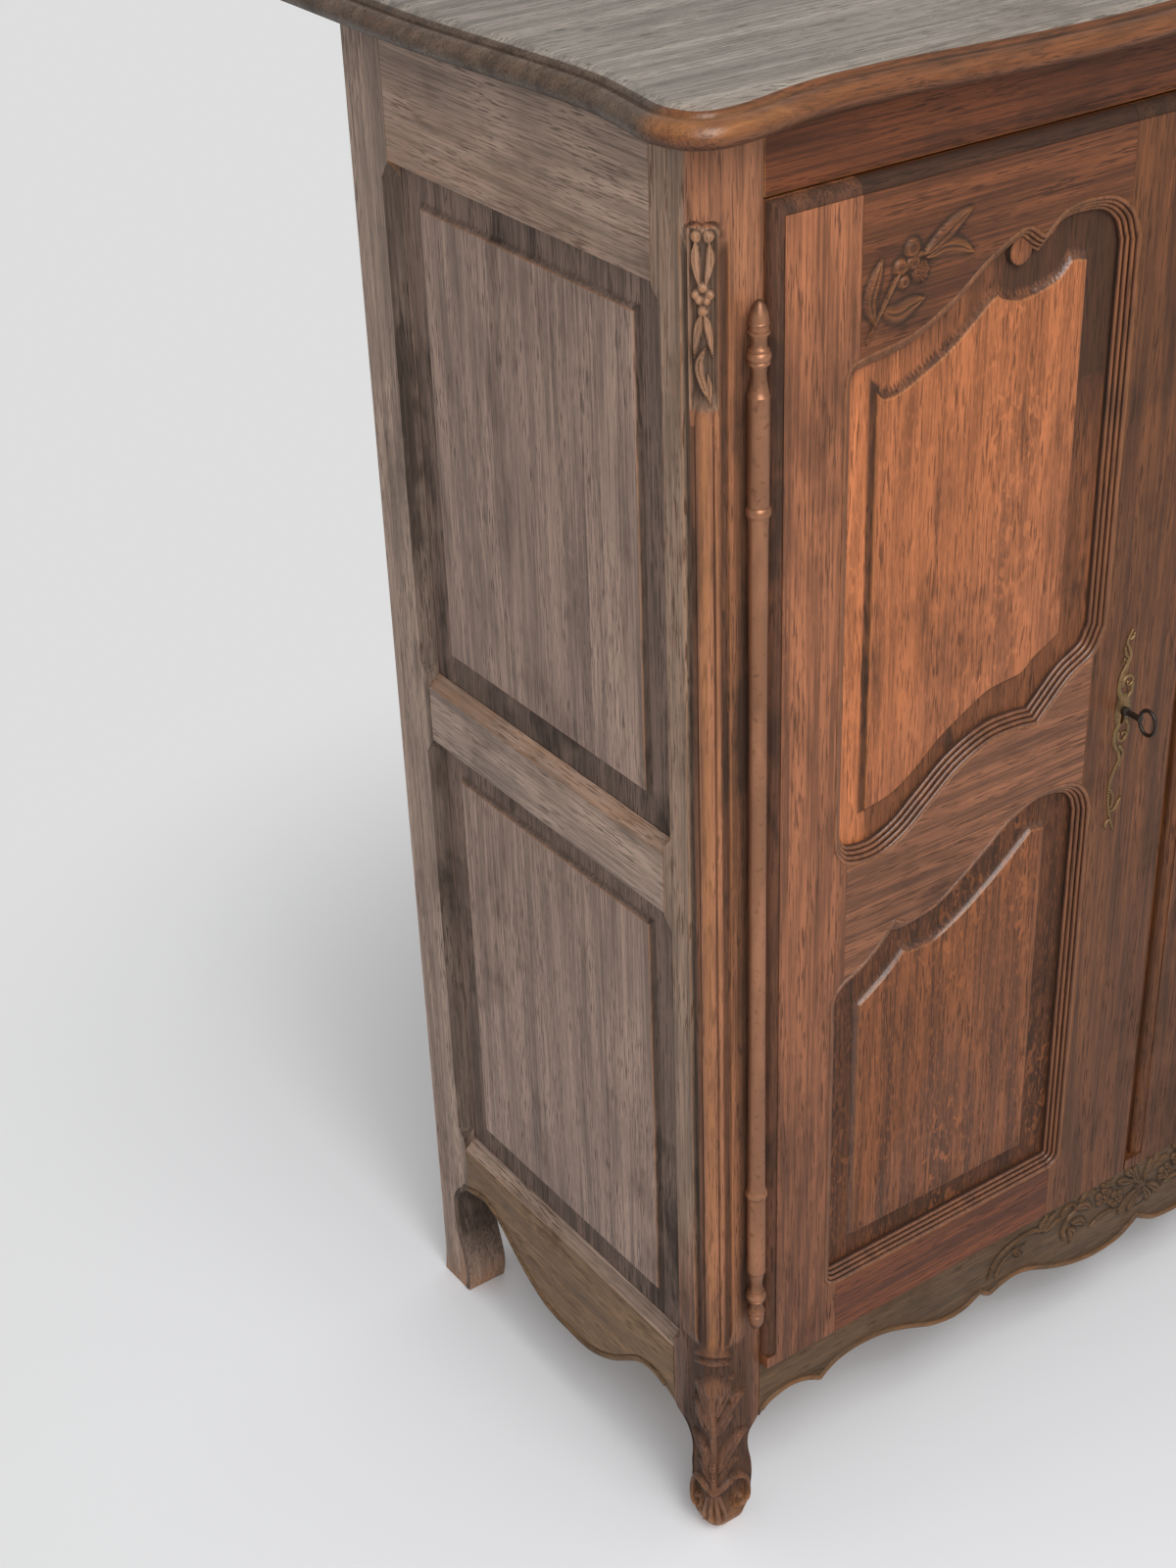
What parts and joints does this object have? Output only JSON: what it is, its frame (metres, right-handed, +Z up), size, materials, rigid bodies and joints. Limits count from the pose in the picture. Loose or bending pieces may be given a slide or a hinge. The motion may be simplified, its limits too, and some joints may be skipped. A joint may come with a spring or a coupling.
{
  "type": "kitchen cupboard",
  "caption": "Low oak cupboard with shaped raised door panels, long barrel hinges, a locking door with key, slide bolts, shelves, scalloped aprons, scroll feet and a moulded wavy top.",
  "frame": {"origin": "on the floor under the middle of the bounding box", "axes": "+Z up, front faces -Y, left side of the cupboard at -X"},
  "size_m": [1.22, 0.544, 1.3883],
  "materials": {
    "side_oak": "old grey-brown waxed oak",
    "front_oak": "red-brown waxed oak",
    "panel_oak": "orange-brown waxed oak with ray fleck",
    "post_oak": "waxed oak, worn light on the edges",
    "apron_oak": "dark waxed oak",
    "top_oak": "worn grey oak",
    "inner_oak": "bare aged oak",
    "bronze": "browned patina",
    "brass": "dull patina",
    "iron": "dark forged iron"
  },
  "bodies": {
    "carcass": {"left_front_post": "post_oak", "right_front_post": "post_oak", "left_rear_post": "side_oak", "right_rear_post": "side_oak", "frieze_rail": "post_oak", "apron_rail": "apron_oak", "left_side_top_rail": "side_oak", "left_side_middle_rail": "side_oak", "left_side_bottom_rail": "side_oak", "left_side_upper_panel": "side_oak", "left_side_lower_panel": "side_oak", "right_side_top_rail": "side_oak", "right_side_middle_rail": "side_oak", "right_side_bottom_rail": "side_oak", "right_side_upper_panel": "side_oak", "right_side_lower_panel": "side_oak", "back_top_rail": "inner_oak", "back_bottom_rail": "inner_oak", "back_muntin": "inner_oak", "left_back_panel": "inner_oak", "right_back_panel": "inner_oak", "top_board": "top_oak", "floor_board": "inner_oak", "upper_shelf": "inner_oak", "lower_shelf": "inner_oak", "left_upper_shelf_cleat": "inner_oak", "left_lower_shelf_cleat": "inner_oak", "right_upper_shelf_cleat": "inner_oak", "right_lower_shelf_cleat": "inner_oak", "left_hinge_upper_knuckle": "bronze", "left_hinge_lower_knuckle": "bronze", "right_hinge_upper_knuckle": "bronze", "right_hinge_lower_knuckle": "bronze"},
    "left_door": {"left_door_hinge_stile": "front_oak", "left_door_meeting_stile": "front_oak", "left_door_top_rail": "front_oak", "left_door_middle_rail": "front_oak", "left_door_bottom_rail": "front_oak", "left_door_upper_panel": "panel_oak", "left_door_lower_panel": "panel_oak", "left_hinge_rod": "bronze", "lock_case": "iron", "escutcheon": "brass"},
    "right_door": {"right_door_hinge_stile": "front_oak", "right_door_meeting_stile": "front_oak", "right_door_top_rail": "front_oak", "right_door_middle_rail": "front_oak", "right_door_bottom_rail": "front_oak", "right_door_upper_panel": "panel_oak", "right_door_lower_panel": "panel_oak", "right_hinge_rod": "bronze", "closing_strip": "front_oak", "lock_keep": "iron", "upper_bolt_guide": "iron", "lower_bolt_guide": "iron"},
    "key": {"key": "iron"},
    "lock_bolt": {"lock_bolt": "iron"},
    "upper_bolt": {"upper_bolt": "iron"},
    "lower_bolt": {"lower_bolt": "iron"}
  },
  "joints": [
    {"name": "left_door_swing", "type": "hinge", "parent": "carcass", "child": "left_door", "pos_m": [-0.517, -0.2305, 0.75], "axis": [0, 0, -1], "range_deg": [0, 170]},
    {"name": "right_door_swing", "type": "hinge", "parent": "carcass", "child": "right_door", "pos_m": [0.517, -0.2305, 0.75], "axis": [0, 0, 1], "range_deg": [0, 170]},
    {"name": "key_turn", "type": "hinge", "parent": "left_door", "child": "key", "pos_m": [-0.106, -0.23, 0.765], "axis": [0, 1, 0], "range_deg": [0, 360]},
    {"name": "lock_bolt_slide", "type": "slide", "parent": "left_door", "child": "lock_bolt", "axis": [1, 0, 0], "range_m": [0, 0.014]},
    {"name": "upper_bolt_slide", "type": "slide", "parent": "right_door", "child": "upper_bolt", "axis": [0, 0, 1], "range_m": [0, 0.018]},
    {"name": "lower_bolt_slide", "type": "slide", "parent": "right_door", "child": "lower_bolt", "axis": [0, 0, -1], "range_m": [0, 0.018]}
  ],
  "couplings": [
    {"joint": "key_turn", "follows": "lock_bolt_slide", "rad_per_m": 448.79}
  ]
}
